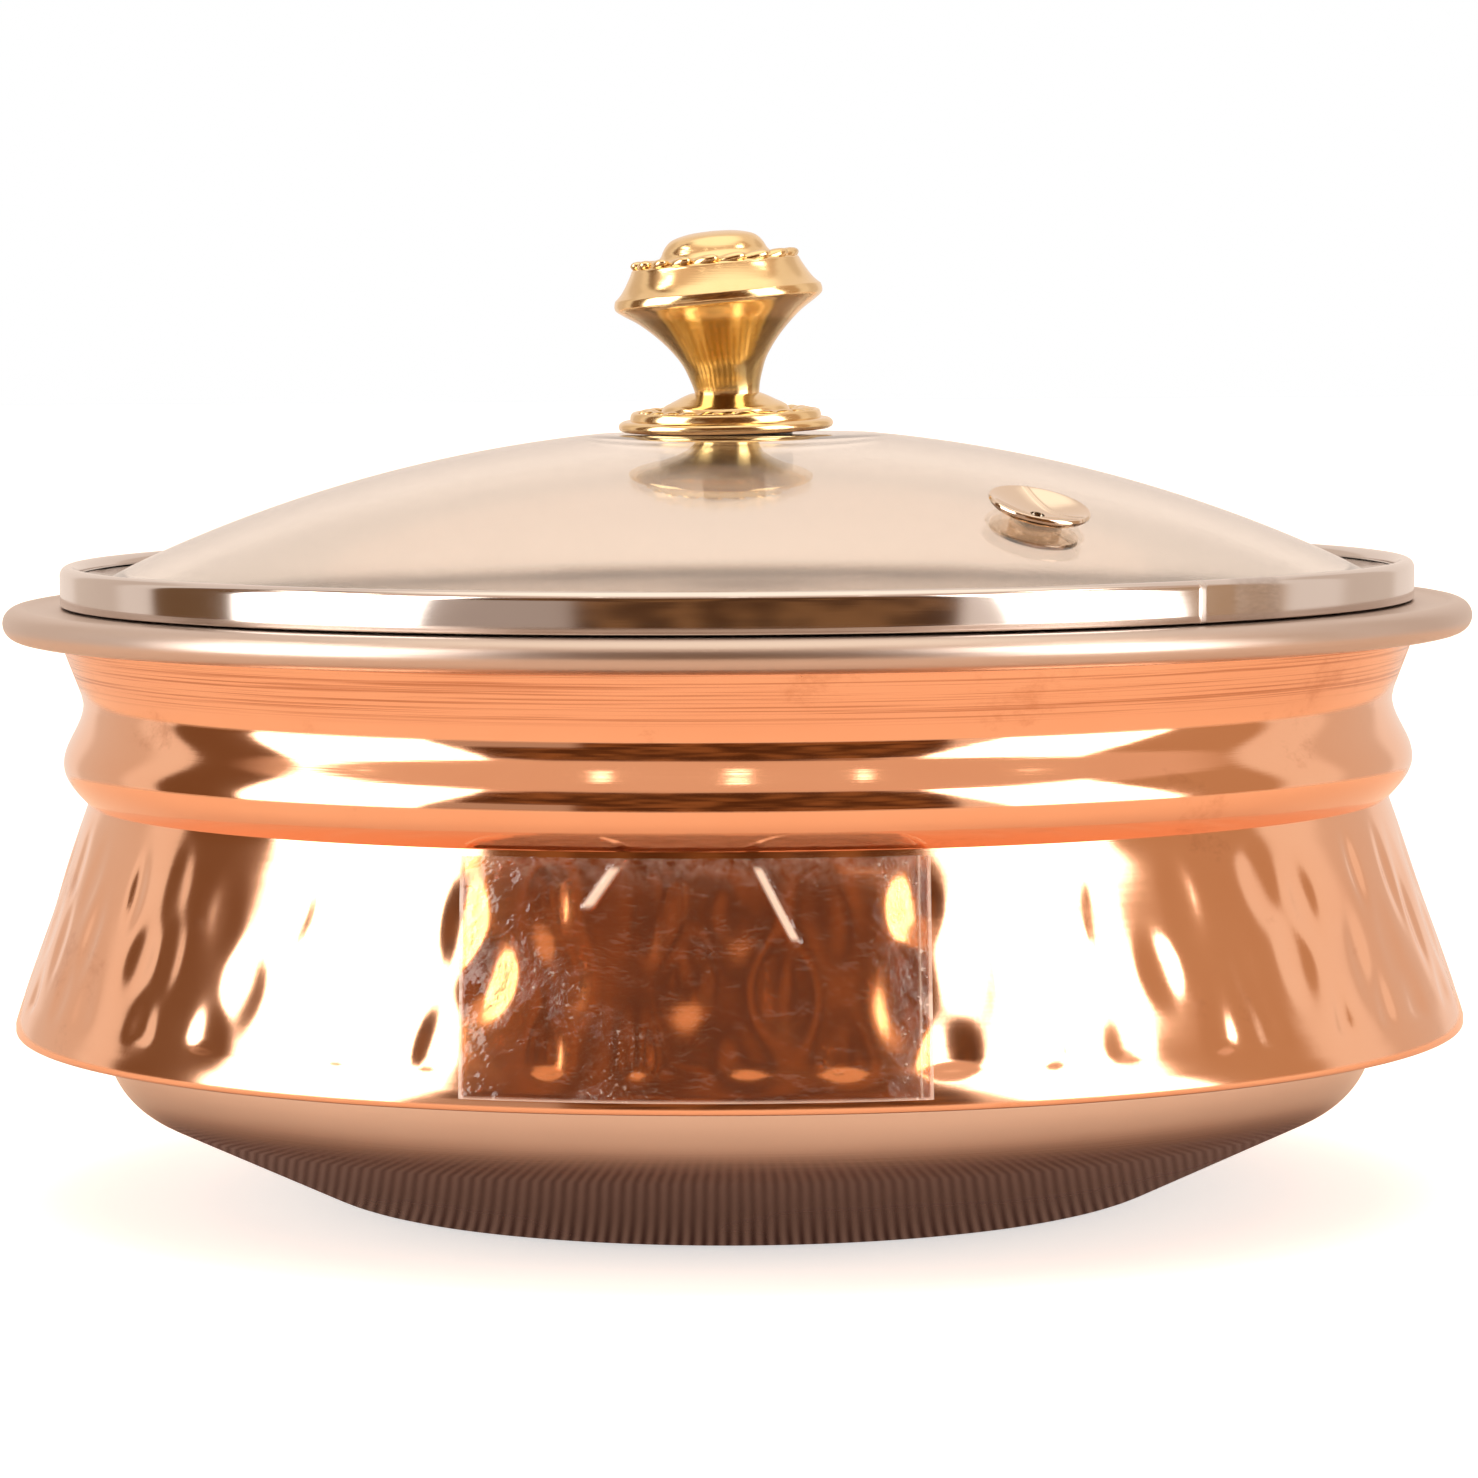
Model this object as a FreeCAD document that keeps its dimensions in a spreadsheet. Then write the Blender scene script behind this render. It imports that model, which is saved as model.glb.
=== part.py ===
"""A handi: a steel cooking bowl in a copper jacket, under a glass lid with a brass knob.

The origin is the centre of the flat base. +Z is up, and the front looks along -Y.
Every turned or spun piece is a section in its own XZ plane, spun about its own Z axis.
"""
import FreeCAD, Part
import Sketcher
import math
import os
import re

os.makedirs("parts", exist_ok=True)
doc = FreeCAD.newDocument("Handi")

# Driving dimensions, in millimetres and degrees. Radii are the bowl's; what fits round or
# inside it is given as a step out or in from it, and heights as steps from the hem or ledge.
DIMENSIONS = {
    # Bowl: flat base, cone, rounded corner, wall, lid ledge and rolled rim.
    "bowl_sheet": 0.9,
    "base_radius": 48.0,
    "base_bend": 16.0,
    "cone_angle": 25.2,
    "corner_bend": 10.5,
    "wall_radius": 82.6,
    "wall_draft": 0.7,
    "ledge_height": 76.5,
    "ledge_bend": 1.0,
    "ledge_width": 11.75,
    "roll_radius": 2.05,
    "roll_drop": 1.53,
    "curl_end_angle": 14.0,
    # Jacket: collar, neck, bulge, sharp waist, skirt and turned-in hem.
    "jacket_sheet": 0.8,
    "jacket_gap": 0.15,
    "waist_gap": 0.3,
    "waist_drop": 25.1,
    "collar_out": 4.3,
    "collar_foot_out": 1.4,
    "collar_foot_drop": 9.8,
    "neck_bend": 5.4,
    "shoulder_out": 1.2,
    "shoulder_drop": 15.6,
    "bulge_top_out": 1.9,
    "bulge_top_drop": 17.0,
    "bulge_bend": 4.2,
    "bulge_foot_out": 1.2,
    "bulge_foot_drop": 23.5,
    "hem_rise": 0.97,
    "hem_out": 11.1,
    "hem_step": 0.45,
    "hem_sweep": 8.0,
    "hem_bend": 0.9,
    "skirt_turn_rise": 3.8,
    # Hammer marks on the skirt, in three rows.
    "mark_count": 48,
    "mark_depth": 0.28,
    "mark_roundness": 5.6,
    "mark_length_bend": 50.0,
    "mark_sweep": 15.0,
    "top_mark_drop": 7.8,
    "mark_spacing": 7.9,
    # Clear film stuck on the front of the skirt.
    "film_thickness": 0.15,
    "film_gap": 0.12,
    "film_rise": 4.1,
    "film_drop": 1.0,
    "film_left_angle": 21.6,
    "film_right_angle": 14.9,
    # Lid glass: a spherical dome with a flat crown and a flat edge.
    "glass_thickness": 3.2,
    "glass_edge_gap": 0.3,
    "glass_edge_width": 5.9,
    "dome_rise": 18.45,
    "crown_drop": 0.9,
    "stud_hole_slack": 1.6,
    # Lid band: one folded steel strip round the glass.
    "band_sheet": 0.5,
    "band_out": 4.4,
    "band_height": 5.1,
    "lip_radius": 1.15,
    "band_bend": 0.9,
    "band_skirt_depth": 5.4,
    "lid_slack": 0.5,
    "lid_gap": 0.1,
    "seat_gap": 0.05,
    # Steam vent, an eyelet set square to the glass.
    "vent_radius": 60.2,
    "vent_angle": 37.2,
    "vent_flange_radius": 6.35,
    "vent_flange_height": 1.75,
    "vent_sheet": 0.5,
    "vent_neck_radius": 3.2,
    "vent_slack": 0.3,
    "vent_bore": 0.9,
    "vent_dish": 0.7,
    "vent_collar_width": 2.2,
    # Knob: rose, head, stud, gaskets, washer and nut. It stands a little crooked.
    "knob_offset": 1.3,
    "rose_lift": 0.5,
    "rose_lean": 1.0,
    "rose_nod": 1.6,
    "rose_bore_slack": 0.65,
    "rose_recess_slack": 1.9,
    "rose_recess_depth": 1.2,
    "rose_ring_wall": 1.7,
    "rose_ring_width": 4.3,
    "rose_ring_rise": 1.5,
    "rose_ring_bend": 2.6,
    "rose_flange_width": 1.64,
    "rose_flange_height": 1.5,
    "rose_boss_rise": 1.7,
    "rose_strands": 24,
    "rose_strand_in": 1.9,
    "rose_strand_lift": 0.75,
    "rose_strand_groove": 0.62,
    "rose_strand_slant": 25.0,
    "neck_radius": 4.15,
    "head_lean": 4.5,
    "head_radius": 13.45,
    "head_edge": 12.4,
    "head_edge_bend": 1.05,
    "head_shoulder_in": 2.55,
    "head_shoulder_rise": 3.9,
    "rope_in": 1.6,
    "rope_bead": 1.25,
    "rope_strands": 20,
    "rope_strand_lift": 1.85,
    "rope_strand_groove": 0.6,
    "rope_strand_slant": 30.0,
    "button_in": 2.7,
    "button_height": 2.4,
    "button_edge": 1.7,
    "button_crown": 0.7,
    "button_rise": 4.5,
    "stud_radius": 2.0,
    "stud_slack": 0.1,
    "stud_depth": 9.0,
    "gasket_width": 5.0,
    "gasket_thickness": 1.1,
    "washer_width": 3.9,
    "washer_thickness": 0.9,
    "nut_wall": 2.0,
    "nut_height": 3.6,
    "stack_gap": 0.05,
}

# Heights and radii that follow from the driving dimensions.
LEVELS = {
    "wall_foot_radius": "wall_radius - wall_draft",
    "corner_radius": "wall_foot_radius - corner_bend",
    "cone_foot_radius": "base_radius + base_bend * sin(cone_angle)",
    "cone_foot": "base_bend * (1 - cos(cone_angle))",
    "cone_top_radius": "corner_radius + corner_bend * sin(cone_angle)",
    "cone_top": "cone_foot + (cone_top_radius - cone_foot_radius) * tan(cone_angle)",
    "wall_foot": "cone_top + corner_bend * cos(cone_angle)",
    "ledge_under": "ledge_height - bowl_sheet",
    "rim_radius": "wall_radius + ledge_width",
    "roll_centre": "rim_radius - roll_radius",
    "roll_height": "ledge_height - roll_drop",
    "roll_hollow": "roll_radius - bowl_sheet",
    "jacket_top": "ledge_under - jacket_gap",
    "waist_radius": "wall_radius + waist_gap + jacket_sheet",
    "waist": "ledge_height - waist_drop",
    "collar_radius": "waist_radius + collar_out",
    "collar_foot_radius": "waist_radius + collar_foot_out",
    "collar_foot": "ledge_height - collar_foot_drop",
    "shoulder_radius": "waist_radius + shoulder_out",
    "shoulder": "ledge_height - shoulder_drop",
    "bulge_top_radius": "waist_radius + bulge_top_out",
    "bulge_top": "ledge_height - bulge_top_drop",
    "bulge_foot_radius": "waist_radius + bulge_foot_out",
    "bulge_foot": "ledge_height - bulge_foot_drop",
    "hem": "wall_foot + hem_rise",
    "hem_radius": "wall_foot_radius + hem_out",
    "skirt_radius": "hem_radius - hem_step",
    "skirt_turn": "hem + skirt_turn_rise",
    "skirt_slope": "(skirt_radius - waist_radius) / (waist - skirt_turn)",
    "top_marks": "waist - top_mark_drop",
    "middle_marks": "top_marks - mark_spacing",
    "bottom_marks": "middle_marks - mark_spacing",
    "film_foot": "hem + film_rise",
    "film_top": "waist - film_drop",
    "band_radius": "wall_radius + band_out",
    "band_foot": "ledge_height + lid_gap",
    "band_top": "band_foot + band_height",
    "lip_height": "band_top - lip_radius",
    "lip_centre": "band_radius - lip_radius",
    "lip_hollow": "lip_radius - band_sheet",
    "band_skirt_radius": "wall_radius - bowl_sheet - lid_slack",
    "glass_radius": "band_radius - band_sheet - glass_edge_gap",
    "glass_foot": "band_foot + band_sheet + seat_gap",
    "glass_edge_top": "glass_foot + glass_thickness",
    "dome_foot_radius": "glass_radius - glass_edge_width",
    "dome_radius": "(dome_foot_radius ^ 2 + dome_rise ^ 2) / (2 * dome_rise)",
    "under_radius": "dome_radius - glass_thickness",
    "dome_height": "glass_edge_top + dome_rise",
    "dome_centre": "dome_height - dome_radius",
    "crown": "dome_height - crown_drop",
    "crown_under": "crown - glass_thickness",
    "vent_collar_radius": "vent_neck_radius + vent_collar_width",
    "stud_hole_radius": "stud_radius + stud_hole_slack",
    "gasket_radius": "stud_hole_radius + gasket_width",
    "washer_radius": "stud_hole_radius + washer_width",
    "nut_radius": "stud_radius + nut_wall",
    "rose_bore": "stud_radius + rose_bore_slack",
    "rose_recess_radius": "gasket_radius + rose_recess_slack",
    "rose_ring_radius": "rose_recess_radius + rose_ring_wall",
    "rose_flange_radius": "rose_ring_radius + rose_flange_width",
    "rose_boss_radius": "rose_ring_radius - rose_ring_width",
    "rose_ring_height": "rose_flange_height + rose_ring_rise",
    "rose_height": "rose_ring_height + rose_boss_rise",
    "rose_seat": "crown + rose_lift",
    "head_tuck": "neck_radius * sin(head_lean)",
    "head_seat": "rose_seat + rose_height + head_tuck",
    "head_shoulder_radius": "head_radius - head_shoulder_in",
    "head_shoulder": "head_edge + head_shoulder_rise",
    "head_height": "head_shoulder + button_rise",
    "rope_radius": "head_shoulder_radius - rope_in",
    "button_radius": "rope_radius - button_in",
    "button_bend": "((button_radius - button_edge) ^ 2 + button_crown ^ 2) / (2 * button_crown)",
}

sizes = doc.addObject("Spreadsheet::Sheet", "Sizes")
for row, (name, number) in enumerate(DIMENSIONS.items(), start=1):
    sizes.set(f"A{row}", name)
    sizes.set(f"B{row}", str(number))
    sizes.setAlias(f"B{row}", name)
doc.recompute()


def bound(text):
    """Turn plain names into references to the two sheets."""
    def reference(match):
        name = match.group(0)
        if name in DIMENSIONS:
            return f"Sizes.{name}"
        if name in LEVELS:
            return f"Levels.{name}"
        return name
    return re.sub(r"[a-z]+(?:_[a-z]+)*", reference, text)


levels = doc.addObject("Spreadsheet::Sheet", "Levels")
for row, name in enumerate(LEVELS, start=1):
    levels.set(f"A{row}", name)
    levels.setAlias(f"B{row}", name)
for row, text in enumerate(LEVELS.values(), start=1):
    levels.set(f"B{row}", "=" + bound(text))
doc.recompute()


def value(text):
    """Work out an expression in the named dimensions."""
    return float(sizes.evalExpression(bound(text)))


def new_body(label):
    body = doc.addObject("PartDesign::Body", label)
    body.Label = label
    return body


def origin_feature(body, role):
    return next(item for item in body.Origin.OriginFeatures if item.Role == role)


def new_sketch(body, name):
    """A sketch in the body's XZ plane: its x is the radius, its y the height."""
    sketch = body.newObject("Sketcher::SketchObject", name)
    sketch.AttachmentSupport = (origin_feature(body, "XZ_Plane"), [""])
    sketch.MapMode = "FlatFace"
    return sketch


def arc_between(start, end, radius, side):
    """The shorter arc from start to end; side 1 bulges left of the way, -1 right of it."""
    chord = end - start
    half = chord.Length / 2
    sagitta = radius - math.sqrt(max(radius * radius - half * half, 0.0))
    across = FreeCAD.Vector(-chord.y, chord.x, 0).normalize()
    middle = (start + end) * 0.5 + across * sagitta * side
    return Part.Arc(start, middle, end)


def long_arc(centre, radius, first_angle, last_angle):
    """An arc of any length about a centre, from its first angle to its last, in degrees."""
    def at(angle):
        turn = math.radians(angle)
        return centre + FreeCAD.Vector(math.cos(turn), math.sin(turn), 0) * radius
    return Part.Arc(at(first_angle), at((first_angle + last_angle) / 2), at(last_angle))


def fix_point(sketch, index, end, radius_text, height_text):
    """Hold one end of a line or arc at a named radius and height."""
    for kind, text in (("DistanceX", radius_text), ("DistanceY", height_text)):
        number = value(text)
        if abs(number) < 1e-9:
            axis = -2 if kind == "DistanceX" else -1
            sketch.addConstraint(Sketcher.Constraint("PointOnObject", index, end, axis))
            continue
        at = sketch.addConstraint(Sketcher.Constraint(kind, index, end, number))
        sketch.setExpression(f"Constraints[{at}]", bound(text))


def draw_section(sketch, corners):
    """Draw a closed section through corners given as text.

    A corner is (radius, height), reached by a line. It is (radius, height, bend, side),
    reached by a short arc, or (radius, height, bend, centre radius, centre height, turn),
    reached by an arc about that centre which turns on from the last corner by a given angle.
    """
    places = [FreeCAD.Vector(value(c[0]), value(c[1]), 0) for c in corners]
    pieces = []
    for number, corner in enumerate(corners):
        start, end = places[number - 1], places[number]
        if len(corner) == 2:
            piece = Part.LineSegment(start, end)
        elif len(corner) == 4:
            piece = arc_between(start, end, value(corner[2]), corner[3])
        else:
            centre = FreeCAD.Vector(value(corner[3]), value(corner[4]), 0)
            first = math.degrees(math.atan2(start.y - centre.y, start.x - centre.x))
            piece = long_arc(centre, value(corner[2]), first, first + value(corner[5]))
        pieces.append(sketch.addGeometry(piece, False))
    first_ends = []
    for number, index in enumerate(pieces):
        gap = (sketch.getPoint(index, 1) - places[number - 1]).Length
        first_ends.append(1 if gap < 1e-4 else 2)
    for number, index in enumerate(pieces):
        following = (number + 1) % len(pieces)
        last_end = 3 - first_ends[number]
        join = Sketcher.Constraint("Coincident", index, last_end, pieces[following], first_ends[following])
        sketch.addConstraint(join)
        fix_point(sketch, index, last_end, corners[number][0], corners[number][1])
        if len(corners[number]) == 4:
            at = sketch.addConstraint(Sketcher.Constraint("Radius", index, value(corners[number][2])))
            sketch.setExpression(f"Constraints[{at}]", bound(corners[number][2]))
        elif len(corners[number]) == 6:
            # The centre is held across the line between the arc's ends.
            span = places[number] - places[number - 1]
            kind, text = ("DistanceX", corners[number][3])
            if abs(span.x) > abs(span.y):
                kind, text = ("DistanceY", corners[number][4])
            at = sketch.addConstraint(Sketcher.Constraint(kind, index, 3, value(text)))
            sketch.setExpression(f"Constraints[{at}]", bound(text))


def spin(body, name, corners, angle=360.0):
    """Spin a section about the body's upright axis."""
    sketch = new_sketch(body, name + "Section")
    draw_section(sketch, corners)
    feature = body.newObject("PartDesign::Revolution", name)
    feature.Profile = sketch
    feature.ReferenceAxis = (sketch, ["V_Axis"])
    feature.Angle = angle
    doc.recompute()
    return feature


def pattern(body, name, originals, count_text):
    """Repeat features round the body's upright axis."""
    feature = body.newObject("PartDesign::PolarPattern", name)
    feature.Originals = originals
    feature.Axis = (origin_feature(body, "Z_Axis"), [""])
    feature.Angle = 360.0
    feature.Occurrences = int(value(count_text))
    feature.setExpression("Occurrences", bound(count_text))
    body.Tip = feature
    doc.recompute()
    return feature


def about(axis, degrees):
    return FreeCAD.Rotation(FreeCAD.Vector(*axis), degrees)


# Steel bowl
def make_bowl():
    body = new_body("steel_bowl")
    spin(body, "Bowl", [
        ("0", "0"),
        ("base_radius", "0"),
        ("cone_foot_radius", "cone_foot", "base_bend", -1),
        ("cone_top_radius", "cone_top"),
        ("wall_foot_radius", "wall_foot", "corner_bend", -1),
        ("wall_radius", "ledge_under - ledge_bend"),
        ("wall_radius + ledge_bend", "ledge_under", "ledge_bend", 1),
        ("roll_centre - sqrt(roll_hollow ^ 2 - (ledge_under - roll_height) ^ 2)", "ledge_under"),
        ("roll_centre - roll_hollow * cos(curl_end_angle)",
         "roll_height - roll_hollow * sin(curl_end_angle)",
         "roll_hollow", "roll_centre", "roll_height",
         "curl_end_angle - 360 + asin((ledge_under - roll_height) / roll_hollow) / 1 deg"),
        ("roll_centre - roll_radius * cos(curl_end_angle)",
         "roll_height - roll_radius * sin(curl_end_angle)"),
        ("roll_centre - sqrt(roll_radius ^ 2 - roll_drop ^ 2)", "ledge_height",
         "roll_radius", "roll_centre", "roll_height",
         "360 - curl_end_angle - asin(roll_drop / roll_radius) / 1 deg"),
        ("wall_radius + ledge_bend", "ledge_height"),
        ("wall_radius - bowl_sheet", "ledge_under - ledge_bend", "ledge_bend + bowl_sheet", -1),
        ("wall_foot_radius - bowl_sheet", "wall_foot"),
        ("corner_radius + (corner_bend - bowl_sheet) * sin(cone_angle)",
         "wall_foot - (corner_bend - bowl_sheet) * cos(cone_angle)",
         "corner_bend - bowl_sheet", 1),
        ("base_radius + (base_bend - bowl_sheet) * sin(cone_angle)",
         "base_bend - (base_bend - bowl_sheet) * cos(cone_angle)"),
        ("base_radius", "bowl_sheet", "base_bend - bowl_sheet", 1),
        ("0", "bowl_sheet"),
    ])
    return body


# Copper jacket
def make_jacket():
    body = new_body("copper_jacket")
    spin(body, "Jacket", [
        ("collar_radius", "jacket_top"),
        ("collar_radius - jacket_sheet", "jacket_top"),
        ("collar_foot_radius - jacket_sheet", "collar_foot"),
        ("shoulder_radius - jacket_sheet", "shoulder", "neck_bend", -1),
        ("bulge_top_radius - jacket_sheet", "bulge_top"),
        ("bulge_foot_radius - jacket_sheet", "bulge_foot", "bulge_bend", 1),
        ("waist_radius - jacket_sheet", "waist"),
        ("skirt_radius - jacket_sheet", "skirt_turn"),
        ("hem_radius - jacket_sheet", "hem + jacket_sheet"),
        ("wall_foot_radius + jacket_gap", "hem + jacket_sheet"),
        ("wall_foot_radius + jacket_gap", "hem"),
        ("hem_radius - hem_bend", "hem"),
        ("hem_radius", "hem + hem_bend", "hem_bend", -1),
        ("skirt_radius", "skirt_turn", "hem_sweep", -1),
        ("waist_radius", "waist"),
        ("bulge_foot_radius", "bulge_foot"),
        ("bulge_top_radius", "bulge_top", "bulge_bend", -1),
        ("shoulder_radius", "shoulder"),
        ("collar_foot_radius", "collar_foot", "neck_bend", 1),
    ])
    slope = math.degrees(math.atan(value("skirt_slope")))
    reach = value("mark_length_bend - mark_depth")
    step = 360.0 / value("mark_count")
    for name, height_text, turn in (
        ("TopMarks", "top_marks", step * 0.25),
        ("MiddleMarks", "middle_marks", step * 0.75),
        ("BottomMarks", "bottom_marks", step * 0.25),
    ):
        height = value(height_text)
        radius = value("waist_radius") + (value("waist") - height) * value("skirt_slope")
        outward = FreeCAD.Vector(math.cos(math.radians(slope)), 0, math.sin(math.radians(slope)))
        centre = FreeCAD.Vector(radius, 0, height) + outward * reach
        # A short length of ring, with its outer side against the skirt.
        mark = body.newObject("PartDesign::SubtractiveTorus", name[:-1])
        mark.setExpression("Radius1", bound("mark_length_bend - mark_roundness"))
        mark.setExpression("Radius2", bound("mark_roundness"))
        mark.setExpression("Angle3", bound("mark_sweep"))
        facing = about((0, 1, 0), -slope) * about((1, 0, 0), 90)
        facing = facing * about((0, 0, 1), 180 - value("mark_sweep") / 2)
        round_pot = about((0, 0, 1), turn)
        mark.Placement = FreeCAD.Placement(round_pot * centre, round_pot * facing)
        doc.recompute()
        pattern(body, name, [mark], "mark_count")
    return body


# Clear film
def make_film():
    body = new_body("clear_label")
    near = "film_gap"
    far = "film_gap + film_thickness"
    skirt_at = "waist_radius + (waist - {0}) * skirt_slope + {1}"
    spin(body, "Film", [
        (skirt_at.format("film_foot", near), "film_foot"),
        (skirt_at.format("film_foot", far), "film_foot"),
        (skirt_at.format("film_top", far), "film_top"),
        (skirt_at.format("film_top", near), "film_top"),
    ], angle=value("film_left_angle + film_right_angle"))
    body.Placement = FreeCAD.Placement(
        FreeCAD.Vector(), about((0, 0, 1), -90 - value("film_left_angle")))
    return body


# Lid glass
def dome_frame():
    """The vent's place: a frame square to the dome, where the vent's axis leaves the glass."""
    radius = value("vent_radius")
    height = value("dome_centre") + math.sqrt(value("dome_radius") ** 2 - radius ** 2)
    lean = math.degrees(math.asin(radius / value("dome_radius")))
    round_pot = about((0, 0, 1), -90 + value("vent_angle"))
    return FreeCAD.Placement(
        round_pot * FreeCAD.Vector(radius, 0, height), round_pot * about((0, 1, 0), lean))


def make_glass():
    body = new_body("lid_glass")
    outer = "sqrt(dome_radius ^ 2 - ({0} - dome_centre) ^ 2)"
    inner = "sqrt(under_radius ^ 2 - ({0} - dome_centre) ^ 2)"
    spin(body, "Dome", [
        ("0", "crown_under"),
        (inner.format("crown_under"), "crown_under"),
        (inner.format("glass_foot"), "glass_foot", "under_radius", 1),
        ("glass_radius", "glass_foot"),
        ("glass_radius", "glass_edge_top"),
        (outer.format("glass_edge_top"), "glass_edge_top"),
        (outer.format("crown"), "crown", "dome_radius", -1),
        ("0", "crown"),
    ])
    drill_glass(body, "StudHole", "stud_hole_radius",
                FreeCAD.Placement(FreeCAD.Vector(-value("knob_offset"), 0, value("crown")),
                                  FreeCAD.Rotation()))
    drill_glass(body, "VentHole", "vent_neck_radius + vent_slack", dome_frame())
    return body


def drill_glass(body, name, radius_text, frame):
    hole = body.newObject("PartDesign::SubtractiveCylinder", name)
    hole.setExpression("Radius", bound(radius_text))
    hole.setExpression("Height", bound("glass_thickness * 3"))
    reach = FreeCAD.Vector(0, 0, -value("glass_thickness") * 2)
    hole.Placement = frame * FreeCAD.Placement(reach, FreeCAD.Rotation())
    doc.recompute()


# Lid band
def make_band():
    body = new_body("lid_band")
    spin(body, "Band", [
        ("lip_centre - lip_radius", "glass_edge_top + seat_gap"),
        ("lip_centre - lip_hollow", "glass_edge_top + seat_gap"),
        ("lip_centre - lip_hollow", "lip_height"),
        ("lip_centre + lip_hollow", "lip_height", "lip_hollow", "lip_centre", "lip_height", "-180"),
        ("band_radius - band_sheet", "band_foot + band_sheet"),
        ("band_skirt_radius", "band_foot + band_sheet"),
        ("band_skirt_radius - band_sheet", "band_foot", "band_sheet", 1),
        ("band_skirt_radius - band_sheet", "band_foot - band_skirt_depth"),
        ("band_skirt_radius", "band_foot - band_skirt_depth"),
        ("band_skirt_radius", "band_foot"),
        ("band_radius - band_bend", "band_foot"),
        ("band_radius", "band_foot + band_bend", "band_bend", -1),
        ("band_radius", "lip_height"),
        ("lip_centre - lip_radius", "lip_height", "lip_radius", "lip_centre", "lip_height", "180"),
    ])
    return body


# Steam vent
def make_vent():
    body = new_body("vent_eyelet")
    spin(body, "Eyelet", [
        ("vent_bore", "0 - glass_thickness - seat_gap * 4 - vent_sheet * 2"),
        ("vent_collar_radius", "0 - glass_thickness - seat_gap * 4 - vent_sheet * 2"),
        ("vent_collar_radius", "0 - glass_thickness - seat_gap * 4 - vent_sheet"),
        ("vent_neck_radius", "0 - glass_thickness - seat_gap * 4 - vent_sheet"),
        ("vent_neck_radius", "seat_gap * 3"),
        ("vent_neck_radius + vent_sheet", "seat_gap * 3"),
        ("vent_flange_radius", "vent_flange_height - vent_sheet / 2", "vent_flange_radius", -1),
        ("vent_flange_radius", "vent_flange_height", "vent_sheet", -1),
        ("vent_bore", "vent_flange_height - vent_dish", "vent_flange_radius * 2", 1),
    ])
    body.Placement = dome_frame()
    return body


# Knob rose
def cut_strands(body, name, radius_text, height_text, strand, count_text):
    """Cut slanting grooves across a bead to make it look like a twisted rope."""
    groove = body.newObject("PartDesign::SubtractiveCylinder", name)
    groove.setExpression("Radius", bound(f"{strand}_groove"))
    groove.setExpression("Height", bound(f"{strand}_groove * 5"))
    half_step = about((0, 0, 1), 180 / value(count_text))
    tilt = about((0, 0, 1), value(f"{strand}_slant")) * about((0, 1, 0), 90)
    back = tilt * FreeCAD.Vector(0, 0, -2.5 * value(f"{strand}_groove"))
    centre = FreeCAD.Vector(value(radius_text), 0, value(height_text))
    place = FreeCAD.Placement(centre + back, tilt)
    groove.Placement = FreeCAD.Placement(FreeCAD.Vector(), half_step) * place
    doc.recompute()
    pattern(body, name + "Ring", [groove], count_text)


def make_rose():
    body = new_body("knob_base")
    spin(body, "Rose", [
        ("rose_bore", "rose_recess_depth"),
        ("rose_recess_radius", "rose_recess_depth"),
        ("rose_recess_radius", "0"),
        ("rose_flange_radius - rose_flange_height / 3", "0"),
        ("rose_flange_radius - rose_flange_height / 3", "rose_flange_height",
         "rose_flange_height / 1.8", -1),
        ("rose_ring_radius", "rose_flange_height"),
        ("rose_ring_radius", "rose_flange_height * 1.45"),
        ("rose_boss_radius + 0.3", "rose_ring_height - 0.2", "rose_ring_bend", -1),
        ("neck_radius + 0.3", "rose_height", "rose_boss_radius * 1.3", -1),
        ("rose_bore", "rose_height"),
    ])
    cut_strands(body, "Strand", "rose_ring_radius - rose_strand_in",
                "rose_ring_height + rose_strand_lift", "rose_strand", "rose_strands")
    body.Placement = FreeCAD.Placement(
        FreeCAD.Vector(-value("knob_offset"), 0, value("rose_seat")),
        about((1, 0, 0), value("rose_nod")) * about((0, -1, 0), value("rose_lean")))
    return body


# Knob head
def knob_frame():
    """The leaning frame that head, stud and nut share, at the foot of the head's neck."""
    return FreeCAD.Placement(
        FreeCAD.Vector(-value("knob_offset"), 0, value("head_seat")),
        about((0, -1, 0), value("head_lean")))


def make_head():
    body = new_body("knob_head")
    spin(body, "Head", [
        ("0", "stud_depth + stud_slack"),
        ("stud_radius + stud_slack", "stud_depth + stud_slack"),
        ("stud_radius + stud_slack", "0"),
        ("neck_radius", "0"),
        ("head_radius * 0.64", "head_edge * 0.65", "head_edge * 2.3", 1),
        ("head_radius - head_edge_bend", "head_edge - head_edge_bend"),
        ("head_radius - head_edge_bend * 0.4", "head_edge + head_edge_bend * 0.9",
         "head_edge_bend", -1),
        ("head_shoulder_radius", "head_shoulder"),
        ("rope_radius + rope_bead", "head_shoulder + 0.35"),
        ("rope_radius - rope_bead", "head_shoulder + 0.9", "rope_bead * 1.05", -1),
        ("button_radius", "head_height - button_height"),
        ("button_radius - button_edge", "head_height - button_crown", "button_height", -1),
        ("0", "head_height", "button_bend", -1),
    ])
    cut_strands(body, "Twist", "rope_radius", "head_shoulder + rope_strand_lift",
                "rope_strand", "rope_strands")
    body.Placement = knob_frame()
    return body


# Stud, gaskets, washer and nut
def make_ring(label, inner, outer, foot, top):
    """A flat ring about the knob's upright axis."""
    body = new_body(label)
    spin(body, "Ring", [
        (inner, foot), (outer, foot), (outer, top), (inner, top),
    ])
    body.Placement = FreeCAD.Placement(
        FreeCAD.Vector(-value("knob_offset"), 0, 0), FreeCAD.Rotation())
    return body


def make_stud():
    body = new_body("knob_stud")
    spin(body, "Stud", [
        ("0", "0 - head_seat + crown_under - gasket_thickness - washer_thickness - nut_height"),
        ("stud_radius",
         "0 - head_seat + crown_under - gasket_thickness - washer_thickness - nut_height"),
        ("stud_radius", "stud_depth"),
        ("0", "stud_depth"),
    ])
    body.Placement = knob_frame()
    return body


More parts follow.
